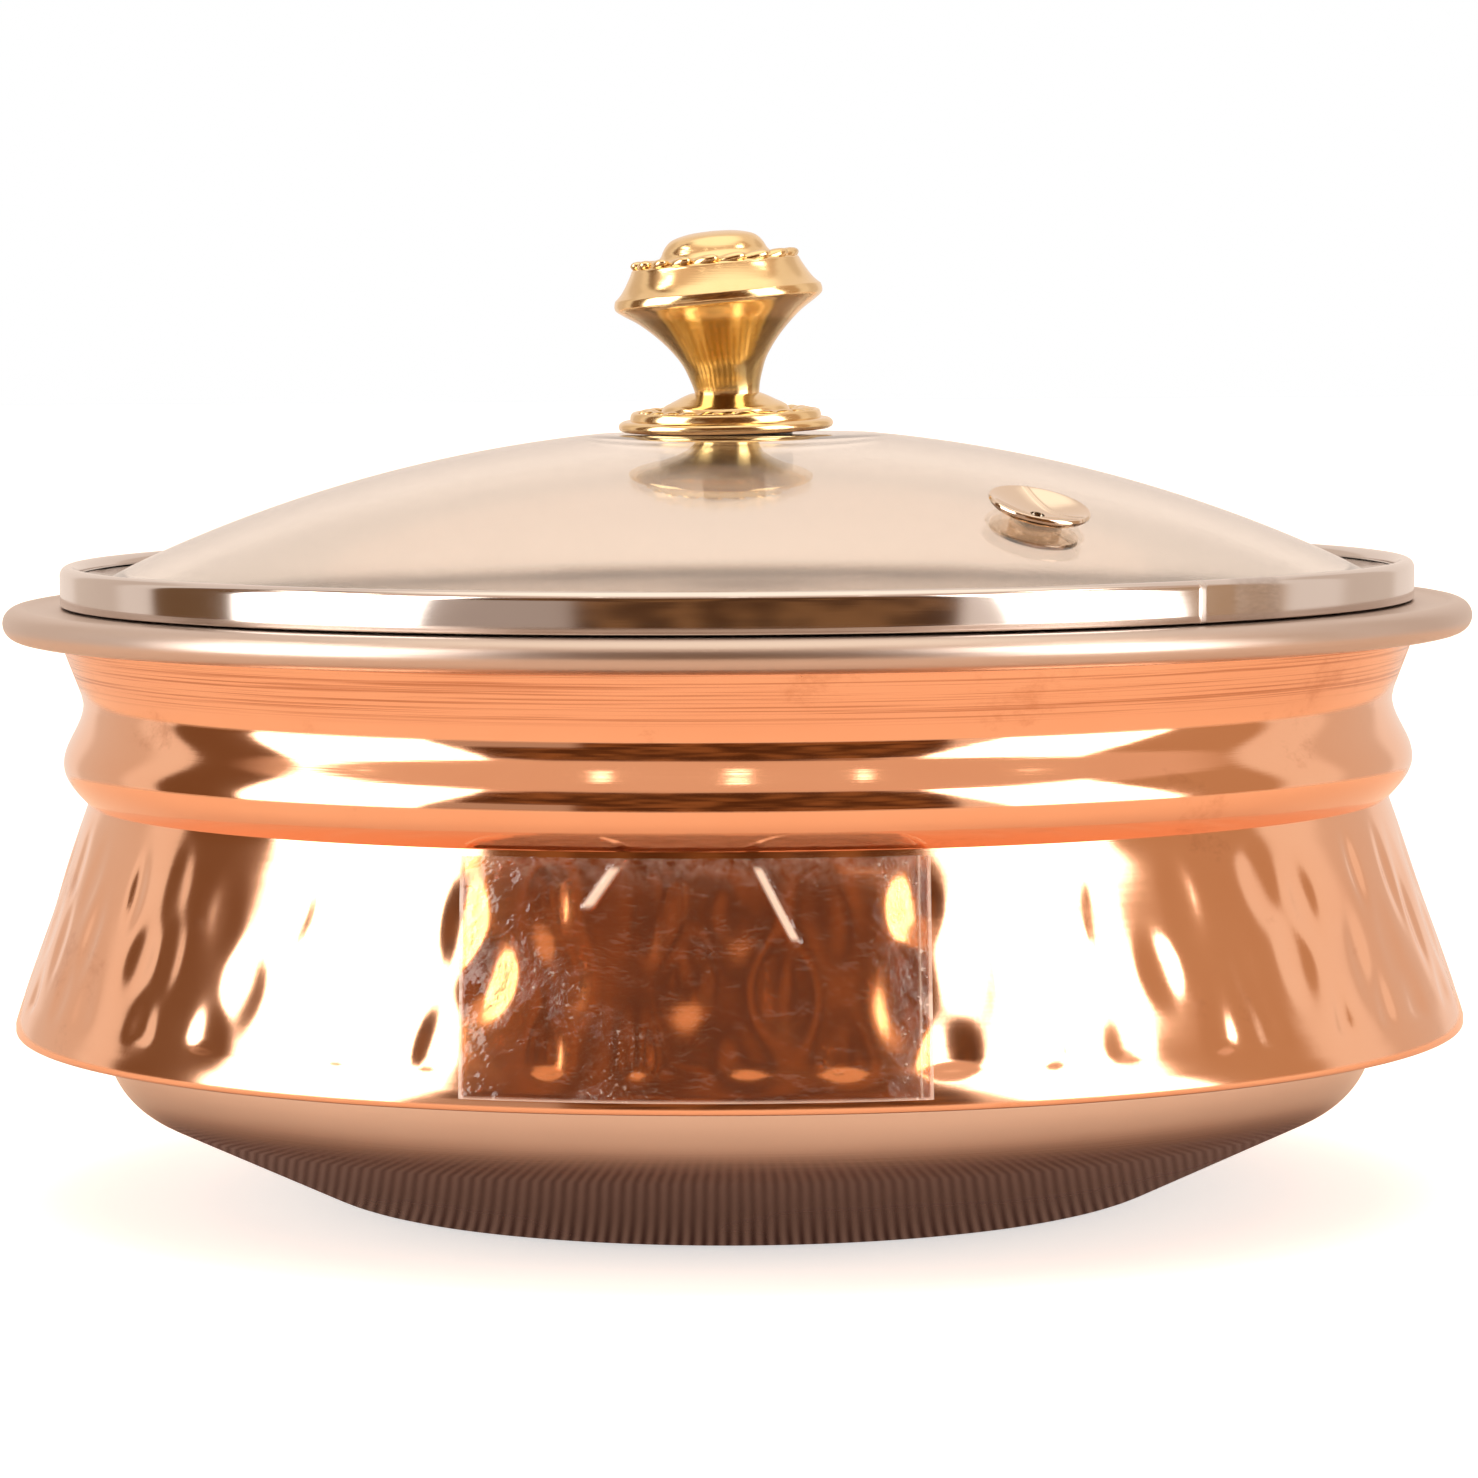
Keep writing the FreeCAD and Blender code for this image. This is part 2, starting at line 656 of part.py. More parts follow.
def make_nut():
    """A hexagon nut that runs on the stud under the washer."""
    body = new_body("knob_nut")
    sketch = body.newObject("Sketcher::SketchObject", "NutOutline")
    sketch.AttachmentSupport = (origin_feature(body, "XY_Plane"), [""])
    sketch.MapMode = "FlatFace"
    corners = []
    for number in range(6):
        turn = math.radians(60 * number)
        corners.append(FreeCAD.Vector(math.cos(turn), math.sin(turn), 0) * value("nut_radius"))
    for number in range(6):
        sketch.addGeometry(Part.LineSegment(corners[number], corners[(number + 1) % 6]), False)
    for number in range(6):
        following = (number + 1) % 6
        sketch.addConstraint(Sketcher.Constraint("Coincident", number, 2, following, 1))
    outline = sketch.addGeometry(
        Part.Circle(FreeCAD.Vector(), FreeCAD.Vector(0, 0, 1), value("nut_radius")), True)
    sketch.addConstraint(Sketcher.Constraint("Coincident", outline, 3, -1, 1))
    size = sketch.addConstraint(Sketcher.Constraint("Radius", outline, value("nut_radius")))
    sketch.setExpression(f"Constraints[{size}]", bound("nut_radius"))
    for number in range(6):
        sketch.addConstraint(Sketcher.Constraint("PointOnObject", number, 1, outline))
    for number in range(5):
        sketch.addConstraint(Sketcher.Constraint("Equal", number, number + 1))
    sketch.addConstraint(Sketcher.Constraint("PointOnObject", 0, 1, -1))
    bore = sketch.addGeometry(
        Part.Circle(FreeCAD.Vector(), FreeCAD.Vector(0, 0, 1), value("stud_radius + stud_slack")),
        False)
    sketch.addConstraint(Sketcher.Constraint("Coincident", bore, 3, -1, 1))
    size = sketch.addConstraint(
        Sketcher.Constraint("Radius", bore, value("stud_radius + stud_slack")))
    sketch.setExpression(f"Constraints[{size}]", bound("stud_radius + stud_slack"))
    pad = body.newObject("PartDesign::Pad", "Nut")
    pad.Profile = sketch
    pad.setExpression("Length", bound("nut_height - nut_radius * sin(head_lean) - stack_gap * 4"))
    foot = value("crown_under - gasket_thickness - washer_thickness - nut_height - head_seat")
    body.Placement = knob_frame() * FreeCAD.Placement(
        FreeCAD.Vector(0, 0, foot), FreeCAD.Rotation())
    doc.recompute()
    return body


loose_bore = "stud_hole_radius"
bodies = [
    make_bowl(),
    make_jacket(),
    make_film(),
    make_glass(),
    make_band(),
    make_vent(),
    make_rose(),
    make_head(),
    make_stud(),
    make_ring("upper_gasket", loose_bore, "gasket_radius",
              "crown + stack_gap", "crown + gasket_thickness"),
    make_ring("lower_gasket", loose_bore, "gasket_radius",
              "crown_under - gasket_thickness", "crown_under - stack_gap"),
    make_ring("screw_washer", loose_bore, "washer_radius",
              "crown_under - gasket_thickness - washer_thickness",
              "crown_under - gasket_thickness - stack_gap"),
    make_nut(),
]
doc.recompute()

# Every object has to be sound before anything is written.
for item in doc.Objects:
    if "Invalid" in item.State or "Error" in item.State:
        raise RuntimeError(f"{item.Label} did not recompute: {item.State}")
for body in bodies:
    if body.Shape.isNull() or not body.Shape.isValid():
        raise RuntimeError(f"{body.Label} has no sound shape")
for body in bodies:
    body.Shape.exportStep(f"parts/{body.Label}.step")
    box = body.Shape.optimalBoundingBox(False, False)
    print(f"{body.Label}: {len(body.Shape.Solids)} solid, {body.Shape.Volume:.1f} mm3, "
          f"z {box.ZMin:.2f} to {box.ZMax:.2f}")
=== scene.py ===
# %% [markdown]
# A handi is a round cooking pot. This one is a bowl of polished steel in a hammered copper jacket,
# under a glass lid with a folded steel band and a brass knob. Nearly all of it was spun on a lathe or
# turned, so nearly every piece here is one section spun round the upright axis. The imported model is
# loaded first: it fixes where each piece sits, and each piece made here stands for one of its nodes.

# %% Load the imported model
import math
import random

import bpy
import numpy as np
from mathutils import Matrix, Vector


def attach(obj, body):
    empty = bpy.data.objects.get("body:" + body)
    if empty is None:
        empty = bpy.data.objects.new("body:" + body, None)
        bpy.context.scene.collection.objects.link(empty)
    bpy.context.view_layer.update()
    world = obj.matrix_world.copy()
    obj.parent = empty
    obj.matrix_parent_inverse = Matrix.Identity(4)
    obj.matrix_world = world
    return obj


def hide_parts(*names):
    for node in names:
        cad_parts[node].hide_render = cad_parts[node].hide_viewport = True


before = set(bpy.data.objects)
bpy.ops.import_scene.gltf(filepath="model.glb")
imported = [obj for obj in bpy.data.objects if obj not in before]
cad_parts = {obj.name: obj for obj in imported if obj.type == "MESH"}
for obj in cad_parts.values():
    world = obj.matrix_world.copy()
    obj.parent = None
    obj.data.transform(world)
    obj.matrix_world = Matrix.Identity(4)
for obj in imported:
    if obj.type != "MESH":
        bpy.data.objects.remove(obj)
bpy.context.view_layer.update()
MM = 0.001

# %% [markdown]
# A section is easiest to describe as a path of points, each a radius and a height in millimetres.
# Two small helpers write the paths: one gives the points of an arc, and the other gives a smooth line
# through a few points read off the real outline, as a draughtsman bends a flexible ruler through them.

# %% Helpers for sections
def arc(centre, radius, first, last, steps=8):
    """Points along an arc, from one angle to another, in degrees from the outward direction."""
    angles = [math.radians(first + (last - first) * k / steps) for k in range(steps + 1)]
    return [(centre[0] + radius * math.cos(a), centre[1] + radius * math.sin(a)) for a in angles]


def smooth(points, steps=5):
    """A smooth line through the given points."""
    padded = [points[0], *points, points[-1]]
    line = []
    for k in range(1, len(padded) - 2):
        before, start, end, after = (Vector(p) for p in padded[k - 1:k + 3])
        for s in range(steps):
            t = s / steps
            p = 0.5 * (2 * start + (end - before) * t
                       + (2 * before - 5 * start + 4 * end - after) * t * t
                       + (3 * start - before - 3 * end + after) * t * t * t)
            line.append((p.x, p.y))
    line.append(tuple(points[-1]))
    return line


def straight(start, end, steps):
    """Evenly spaced points between two points, without the first."""
    return [(start[0] + (end[0] - start[0]) * k / steps, start[1] + (end[1] - start[1]) * k / steps)
            for k in range(1, steps + 1)]


# %% [markdown]
# Spinning is what the metal spinner did too. A single point is pulled along the section by extruding
# it, and the line it leaves is spun through a full turn. The doubles where the turn closes are merged,
# and the faces are turned outwards.

# %% Spin a section
def spin_piece(name, path, steps=256, closed=True, place=None):
    """Spin a path of (radius, height) in millimetres round the upright axis."""
    bpy.ops.object.select_all(action="DESELECT")
    bpy.ops.mesh.primitive_plane_add(size=2 * MM)
    piece = bpy.context.object
    piece.name = name
    bpy.ops.object.mode_set(mode="EDIT")
    bpy.ops.mesh.select_all(action="SELECT")
    bpy.ops.mesh.merge(type="CENTER")
    points = [Vector((radius, 0, height)) * MM for radius, height in path]
    if closed:
        points.append(points[0])
    bpy.ops.transform.translate(value=points[0])
    for start, end in zip(points, points[1:]):
        bpy.ops.mesh.extrude_region_move(TRANSFORM_OT_translate={"value": end - start})
    bpy.ops.mesh.select_all(action="SELECT")
    bpy.ops.mesh.remove_doubles(threshold=1e-6)
    bpy.ops.mesh.spin(steps=steps, angle=2 * math.pi, center=(0, 0, 0), axis=(0, 0, 1))
    bpy.ops.mesh.select_all(action="SELECT")
    bpy.ops.mesh.remove_doubles(threshold=2e-6)
    bpy.ops.mesh.normals_make_consistent(inside=False)
    bpy.ops.object.mode_set(mode="OBJECT")
    bpy.ops.object.shade_smooth_by_angle(angle=math.radians(40))
    if place is not None:
        settle(piece, place)
    return piece


def settle(piece, place):
    """Move a piece to its place and keep the place in its mesh."""
    bpy.ops.object.select_all(action="DESELECT")
    piece.select_set(True)
    bpy.context.view_layer.objects.active = piece
    piece.matrix_world = place
    bpy.ops.object.transform_apply(location=True, rotation=True, scale=True)


def finish_piece(piece, node, material):
    """Let the piece stand for its node, ride on the pot and take its finish."""
    piece.data.materials.clear()
    piece.data.materials.append(material)
    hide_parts(node)
    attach(piece, "root")
    print(piece.name, "has", len(piece.data.polygons), "faces")


# %% [markdown]
# Finishes are worked out from maths on sockets. One small class wraps a socket, so that a sum in
# Python adds the Math nodes, and two methods give the steps and bands that the patterns are cut with.

# %% Shader expressions
class Wire:
    """An output socket that takes part in Python expressions."""

    def __init__(self, tree, socket):
        self.tree = tree
        self.socket = socket

    def math(self, operation, *values):
        inputs = dict(enumerate((self, *values)))
        return node(self.tree, "ShaderNodeMath", {"operation": operation}, inputs)

    def __add__(self, other):
        return self.math("ADD", other)

    __radd__ = __add__

    def __mul__(self, other):
        return self.math("MULTIPLY", other)

    __rmul__ = __mul__

    def __sub__(self, other):
        return self.math("SUBTRACT", other)

    def __rsub__(self, other):
        return self.math("MULTIPLY", -1.0).math("ADD", other)

    def rise(self, low, high):
        """0 below low, 1 above high, and smooth between them."""
        return node(self.tree, "ShaderNodeMapRange", {"interpolation_type": "SMOOTHSTEP"},
                    {"Value": self, "From Min": low, "From Max": high})

    def band(self, low, high, soft):
        """1 between low and high, with soft edges."""
        return self.rise(low - soft, low + soft) * (1 - self.rise(high - soft, high + soft))


# %% [markdown]
# Any other node is added in one way, from its kind, its settings and the numbers or wires that go
# into its sockets. Colours are mixed by a node of their own, since a Math node would turn them grey.

# %% Any other node
def node(tree, kind, settings, values, output=0):
    """Add a node, set it up, feed its sockets and return the wanted output."""
    made = tree.nodes.new(kind)
    for name, setting in settings.items():
        setattr(made, name, setting)
    for name, value in values.items():
        socket = made.inputs[name]
        if isinstance(value, Wire):
            tree.links.new(value.socket, socket)
        elif hasattr(socket.default_value, "__len__") and len(socket.default_value) == 4:
            socket.default_value = (*value[:3], 1.0)
        else:
            socket.default_value = value
    return Wire(tree, made.outputs[output]) if made.outputs else None


def blend_colour(tree, factor, first, second):
    """Mix two colours."""
    # The Mix node has sockets for numbers, vectors and colours. Its colours go in at 6 and 7, out at 2.
    return node(tree, "ShaderNodeMix", {"data_type": "RGBA", "blend_type": "MIX"},
                {0: factor, 6: first, 7: second}, 2)


# %% [markdown]
# Every finish starts from the same few things: where a point is on the pot, how far round it and how
# far from the axis. Noise, bump and surface are then short calls, so a finish reads as a recipe.

# %% Finishes
class Finish:
    """A material with its tree, object coordinates and the angle round the pot."""

    def __init__(self, name):
        self.material = bpy.data.materials.new(name)
        self.material.use_nodes = True
        self.tree = self.material.node_tree
        self.tree.nodes.clear()
        self.place = self.node("ShaderNodeTexCoord", {}, {}, "Object")
        split = self.tree.nodes.new("ShaderNodeSeparateXYZ")
        self.tree.links.new(self.place.socket, split.inputs[0])
        self.x, self.y, self.z = (Wire(self.tree, split.outputs[k]) for k in range(3))
        # Degrees round the pot, 0 at the front and rising to the right.
        self.turn = self.x.math("ARCTAN2", self.y * -1.0) * math.degrees(1)
        self.radius = (self.x * self.x + self.y * self.y).math("SQRT")

    def node(self, kind, settings, values, output=0):
        return node(self.tree, kind, settings, values, output)

    def noise(self, scale, stretch=(1, 1, 1), detail=3.0, roughness=0.5):
        where = self.node("ShaderNodeMapping", {}, {"Vector": self.place, "Scale": stretch})
        return self.node("ShaderNodeTexNoise", {}, {
            "Vector": where, "Scale": scale, "Detail": detail, "Roughness": roughness})

    def bump(self, height, depth, below=None):
        values = {"Height": height, "Distance": depth * MM, "Strength": 1.0}
        if below is not None:
            values["Normal"] = below
        return self.node("ShaderNodeBump", {}, values)

    def surface(self, **values):
        named = {name.replace("_", " "): value for name, value in values.items()}
        return self.node("ShaderNodeBsdfPrincipled", {}, named)

    def done(self, shader):
        self.node("ShaderNodeOutputMaterial", {}, {"Surface": shader})
        print(self.material.name, "has", len(self.tree.nodes), "nodes")
        return self.material


# %% [markdown]
# The bowl's steel is polished outside and a little satin where it was spun. Polished steel is mostly
# what it reflects, so the finish is plain: a warm grey, fine rings left by the lathe, and slow changes
# of roughness. The rim roll and the flat base are the roughest. The rim roll is a little darker, and
# the low part of the bowl is painted darker still, a painted shade for the dark floor it mirrors.

# %% Bowl steel
def make_bowl_steel():
    f = Finish("bowl steel")
    rings = f.noise(1.0, (40, 40, 5200), 2.0)
    smudge = f.noise(22.0, (1, 1, 1.6), 4.0)
    rim = f.z.rise(0.0715, 0.0728)
    low = 1 - f.z.rise(0.004, 0.018)
    rough = 0.12 + 0.23 * rim + 0.16 * low + 0.1 * (smudge - 0.5)
    colour = blend_colour(f.tree, smudge, (0.64, 0.52, 0.455), (0.77, 0.65, 0.575))
    # The low part of the bowl is painted darker here: a painted shade that stands in for the dark floor
    # it mirrors.
    colour = blend_colour(f.tree, 0.6 * low, colour, (0.42, 0.33, 0.28))
    colour = blend_colour(f.tree, 0.35 * rim, colour, (0.44, 0.36, 0.32))
    skin = f.surface(Base_Color=colour, Metallic=1.0, Roughness=rough, Normal=f.bump(rings, 0.012))
    return f.done(skin)


bowl_steel = make_bowl_steel()

# %% [markdown]
# The bowl is one sheet: a flat base, a shallow cone, a rounded corner, a wall, then a ledge for the lid
# and a rim that is rolled over a wire. The roll is hollow, so the section runs round inside the curl
# and back round its outside.

# %% Steel bowl
SHEET = 0.9
CONE = 25.2
BASE_BEND, BASE_ROUND = (48.0, 16.0), 16.0
CONE_START, CONE_END = (54.81, 1.52), (75.87, 11.43)
CORNER, CORNER_ROUND = (71.4, 20.93), 10.5
LEDGE_BEND, LEDGE_ROUND = (83.6, 74.6), 1.0
ROLL, ROLL_ROUND = (92.3, 74.5), 2.05
WALL_FOOT, WALL_TOP = (81.9, 20.93), (82.6, 74.6)
bowl_path = [
    (0, 0),
    *arc(BASE_BEND, BASE_ROUND, -90, CONE - 90, 6),
    *straight(CONE_START, CONE_END, 5)[:-1],
    *arc(CORNER, CORNER_ROUND, CONE - 90, 0, 14),
    *straight(WALL_FOOT, WALL_TOP, 6),
    *arc(LEDGE_BEND, LEDGE_ROUND, 180, 90, 4),
    *arc(ROLL, ROLL_ROUND - SHEET, 125, -166, 18),
    *arc(ROLL, ROLL_ROUND, -166, 125, 28),
    *arc(LEDGE_BEND, LEDGE_ROUND + SHEET, 90, 180, 5),
    *straight((WALL_TOP[0] - SHEET, WALL_TOP[1]), (WALL_FOOT[0] - SHEET, WALL_FOOT[1]), 6),
    *arc(CORNER, CORNER_ROUND - SHEET, 0, CONE - 90, 8)[1:],
    *arc(BASE_BEND, BASE_ROUND - SHEET, CONE - 90, -90, 4),
    (0, SHEET),
]
bowl = spin_piece("bowl_spun_steel", bowl_path, 320, closed=False)
finish_piece(bowl, "steel_bowl", bowl_steel)

# %% [markdown]
# The copper jacket's finish comes first. The collar under the rim still has the spinner's fine lines,
# which hold dark tarnish, and the neck, the bulge and the skirt are polished. A few stains make
# the copper a little browner and duller. The lines are cut by a noise that is stretched round the pot.

# %% Copper
def make_copper():
    f = Finish("hammered copper")
    lines = f.noise(1.0, (14, 14, 3600), 3.0, 0.7)
    faint = f.noise(1.0, (60, 60, 900), 2.0)
    collar = f.z.rise(0.0655, 0.0672)
    skirt = 1 - f.z.rise(0.0495, 0.0515)
    patina = f.noise(26.0, (1, 1, 2.2), 5.0, 0.6)
    speck = f.noise(900.0, (1, 1, 1), 2.0)
    height = lines * (0.25 + 0.75 * collar) * (1 - 0.7 * skirt) + 0.35 * faint * skirt
    colour = blend_colour(f.tree, patina, (0.90, 0.47, 0.28), (0.97, 0.58, 0.38))
    colour = blend_colour(f.tree, 0.65 * collar * lines.rise(0.48, 0.64), colour, (0.42, 0.15, 0.07))
    stain = f.noise(55.0, (1, 1, 1.5), 6.0, 0.72).rise(0.58, 0.72)
    colour = blend_colour(f.tree, 0.35 * stain, colour, (0.55, 0.22, 0.10))
    rough = 0.085 + 0.13 * collar + 0.05 * (patina - 0.5) + 0.03 * skirt + 0.06 * stain
    micro = f.bump(speck, 0.002)
    skin = f.surface(Base_Color=colour, Metallic=1.0, Roughness=rough,
                     Normal=f.bump(height, 0.02, micro))
    return f.done(skin)


copper = make_copper()

# %% [markdown]
# The jacket is one sheet of copper that was spun in a flowing line: a collar, a neck, a bulge, a sharp
# waist and a flared skirt, with its edge turned in under the bowl. The skirt gets many short steps,
# because the dents are pressed into it next.

# %% Copper jacket
JACKET = 0.8
BOWL_SIDE = 81.75
HEM_GAP = 0.3
HEM_BEND, HEM_ROUND = (92.8, 22.45), 0.55
WAIST = (83.7, 51.4)
SKIRT_FOOT = (92.55, 25.7)
SWELL_STEPS = 14
SWELL_MIDDLE, SWELL_REACH = 85.5, 1.3
SWELL_TOP, SWELL_DROP = 64.1, 7.7
TUCK_STEPS = 8
TUCK_REACH, TUCK_TOP, TUCK_DROP = 3.1, 56.4, 5.0
collar_and_neck = smooth([
    (88.0, 75.45), (87.25, 73.1), (86.45, 70.6), (85.7, 68.6), (85.05, 66.9), (84.45, 65.3)], 4)
swell = [(SWELL_MIDDLE - SWELL_REACH * math.cos(math.pi * k / SWELL_STEPS),
          SWELL_TOP - SWELL_DROP * k / SWELL_STEPS) for k in range(SWELL_STEPS + 1)]
tuck = [(WAIST[0] + TUCK_REACH * math.cos(math.pi / 2 * k / TUCK_STEPS),
         TUCK_TOP - TUCK_DROP * k / TUCK_STEPS) for k in range(1, TUCK_STEPS + 1)]
jacket_outside = [
    *collar_and_neck, *swell, *tuck, *straight(WAIST, SKIRT_FOOT, 34), (92.98, 24.4), (93.34, 23.2),
    *arc(HEM_BEND, HEM_ROUND, 12, -90, 5)]
jacket_inside = [
    (BOWL_SIDE + HEM_GAP, 21.9), (BOWL_SIDE + HEM_GAP, 22.7), (92.2, 22.7), (92.35, 23.6),
    (SKIRT_FOOT[0] - JACKET, SKIRT_FOOT[1]), (WAIST[0] - JACKET, WAIST[1]),
    *[(r - JACKET, z) for r, z in reversed(tuck[1:-1:3])],
    *[(r - JACKET, z) for r, z in reversed(swell[::3])],
    *[(r - JACKET, z) for r, z in reversed(collar_and_neck[::5])]]
jacket = spin_piece("jacket_hammered_copper", jacket_outside + jacket_inside, 800)


# %% [markdown]
# Each blow of the hammer left a dip about 4 mm wide and 10 mm tall. The blows follow three rows,
# but no hand is that even, so each has its own place, size and depth. The dents are real dips in
# the mesh: polished copper shows every one in the edge of a reflection, and a bump map alone would
# leave the outline straight. A small waver is what the hand left between the blows.

# %% Rows of blows
DENT_ROWS = (43.6, 35.6, 27.9)
BLOWS_A_ROW = 48
SKIRT_MIDDLE = 88.5


def skirt_radius(height):
    """Radius of the skirt's outer wall at a height."""
    return WAIST[0] + (WAIST[1] - height) * (SKIRT_FOOT[0] - WAIST[0]) / (WAIST[1] - SKIRT_FOOT[1])


print("the skirt is", round(skirt_radius(DENT_ROWS[1]), 2), "mm in radius at the middle row")

# %% [markdown]
# The dents are pressed by moving the wall's points along the wall's normal. The points are handled
# all together, by their radius, height and turn.

# %% Hammer dents
def hammer(piece):
    """Press the dents and the hand-made waver into the skirt's outer wall."""
    blows = random.Random(11)
    co = np.empty(len(piece.data.vertices) * 3, np.float32)
    piece.data.vertices.foreach_get("co", co)
    co = co.reshape(-1, 3).astype(float) / MM
    radius = np.hypot(co[:, 0], co[:, 1])
    turn = np.arctan2(co[:, 0], -co[:, 1])
    height = co[:, 2]
    outer = np.abs(radius - skirt_radius(height)) < 0.15
    outer &= (height < WAIST[1] - 0.2) & (height > SKIRT_FOOT[1] - 0.2)
    along = turn * SKIRT_MIDDLE
    dip = np.zeros(len(co))
    for row, level in enumerate(DENT_ROWS):
        stagger = 0.5 if row == 1 else 0.0
        for k in range(BLOWS_A_ROW):
            angle = 2 * math.pi * (k + stagger + blows.uniform(-0.22, 0.22)) / BLOWS_A_ROW
            z = level + blows.uniform(-1.6, 1.6)
            wide = blows.uniform(1.7, 2.9)
            tall = blows.uniform(3.6, 5.6)
            depth = blows.uniform(0.14, 0.34)
            lean = blows.uniform(-0.12, 0.12)
            across = (turn - angle + math.pi) % (2 * math.pi) - math.pi
            across = across * SKIRT_MIDDLE - lean * (height - z)
            reach = (across / wide) ** 2 + ((height - z) / tall) ** 2
            dip += depth * np.exp(-reach ** 1.4)
    waver = (0.10 * np.sin(along / 8.7 + 0.4 * np.sin(height / 5.0)) * np.sin(height / 6.1 + along / 31)
             + 0.05 * np.sin(along / 3.9 + height / 2.7))
    # The dents fade out at the waist and at the foot, which stay round.
    edge = np.clip((WAIST[1] - height) / 3.0, 0, 1) * np.clip((height - SKIRT_FOOT[1]) / 1.5, 0, 1)
    press = np.where(outer, (dip - waver) * edge, 0.0)
    slope = math.atan2(SKIRT_FOOT[0] - WAIST[0], WAIST[1] - SKIRT_FOOT[1])
    co[:, 0] -= press * math.cos(slope) * np.sin(turn)
    co[:, 1] += press * math.cos(slope) * np.cos(turn)
    co[:, 2] -= press * math.sin(slope)
    piece.data.vertices.foreach_set("co", (co * MM).astype(np.float32).ravel())
    piece.data.update()
    print("deepest dent", round(float(press.max()), 2), "mm")


hammer(jacket)
finish_piece(jacket, "copper_jacket", copper)

# %% [markdown]
# A sheet of clear film is stuck on the front of the skirt. It is blank here. It doesn't lie quite flat
# on the dents: it has creases and small bubbles that catch the light, and it darkens the copper
# a little. Its finish mixes a clear shader with a pale one where the film is whitened at its edges and
# bubbles, and where painted highlights on the two folds and the crumpled part and a painted reflection
# near the top are laid in. It adds a shine by Fresnel, which is stronger at a glance, as on any clear
# sheet.

# %% Film finish
FILM_LEFT, FILM_RIGHT = -32.4, 22.2
FILM_FOOT, FILM_TOP = 23.4, 50.7
INNER_EDGE = (20.75, 21.05)


def fold_lines(turn, up):
    """How many degrees a point is from the left fold and from the right one."""
    return turn + (50.0 - up) * 0.45 + 9.6, turn - (51.0 - up) * 0.34 - 1.0


def make_film_finish():
    f = Finish("clear film")
    up = f.z * 1000.0
    across = f.x * 1000.0
    fine = f.noise(700.0, (1, 1, 1), 5.0, 0.7)
    loose = f.noise(45.0, (1, 1, 1), 2.0).rise(0.5, 0.62)
    crumpled = loose.math("MAXIMUM", f.turn.rise(9.0, 12.0) * 0.8)
    crease = f.noise(120.0, (1, 1, 1.3), 4.0, 0.6)
    normal = f.bump(crease + 0.45 * crumpled * fine, 0.5)
    # Air bubbles and the cut edges of the sheet, and painted highlights where the two folds catch the
    # light.
    cells = f.node("ShaderNodeTexVoronoi", {}, {"Vector": f.place, "Scale": 75.0, "Randomness": 0.9})
    bubble = (1 - cells.rise(0.12, 0.16)) * f.noise(30.0).rise(0.5, 0.56)
    left_fold, right_fold = (line.math("ABSOLUTE") for line in fold_lines(f.turn, up))
    fold_glints = (1 - left_fold.rise(0.15, 0.7)) * up.band(45.2, 49.6, 0.5)
    fold_glints = fold_glints.math("MAXIMUM", (1 - right_fold.rise(0.1, 0.5)) * up.band(41.5, 49.6, 0.5))
    inside = across.band(FILM_LEFT + 0.35, FILM_RIGHT - 0.35, 0.15)
    border = 1 - inside * up.rise(FILM_FOOT, FILM_FOOT + 0.5)
    border = border.math("MAXIMUM", across.band(*INNER_EDGE, 0.15) * 0.7)
    # A painted reflection near the top, and painted highlights glittering where the film is crumpled.
    top_sheen = up.rise(46.0, 51.0) * fine.rise(0.35, 0.7)
    crumple_glints = crumpled * f.noise(1600.0, (1, 1, 1), 2.0).rise(0.62, 0.7)
    # Whitened edges and bubbles, with the painted highlights and the painted reflection, all go into
    # the pale mix.
    whitening_and_glints = 0.015 + 0.4 * border + 0.28 * bubble + 0.85 * fold_glints + 0.15 * top_sheen + 0.35 * crumple_glints
    pale = f.surface(Base_Color=(0.95, 0.74, 0.62), Roughness=0.3, Normal=normal)
    clear = f.node("ShaderNodeBsdfTransparent", {}, {"Color": (1.0, 0.86, 0.68)})
    shine = f.node("ShaderNodeBsdfGlossy", {}, {
        "Color": (1, 1, 1), "Roughness": 0.12, "Normal": normal})
    facing = f.node("ShaderNodeFresnel", {}, {"IOR": 1.6, "Normal": normal})
    haze = f.node("ShaderNodeMixShader", {}, {0: whitening_and_glints, 1: clear, 2: pale})
    film = f.node("ShaderNodeMixShader", {}, {0: facing * 0.9, 1: haze, 2: shine})
    return f.done(film)


film_finish = make_film_finish()

# %% [markdown]
# The film itself is a fine grid that is laid round the skirt point by point. Nine families of slanted
# creases lift it from the copper by up to a sixth of a millimetre, and the two folds stand higher.

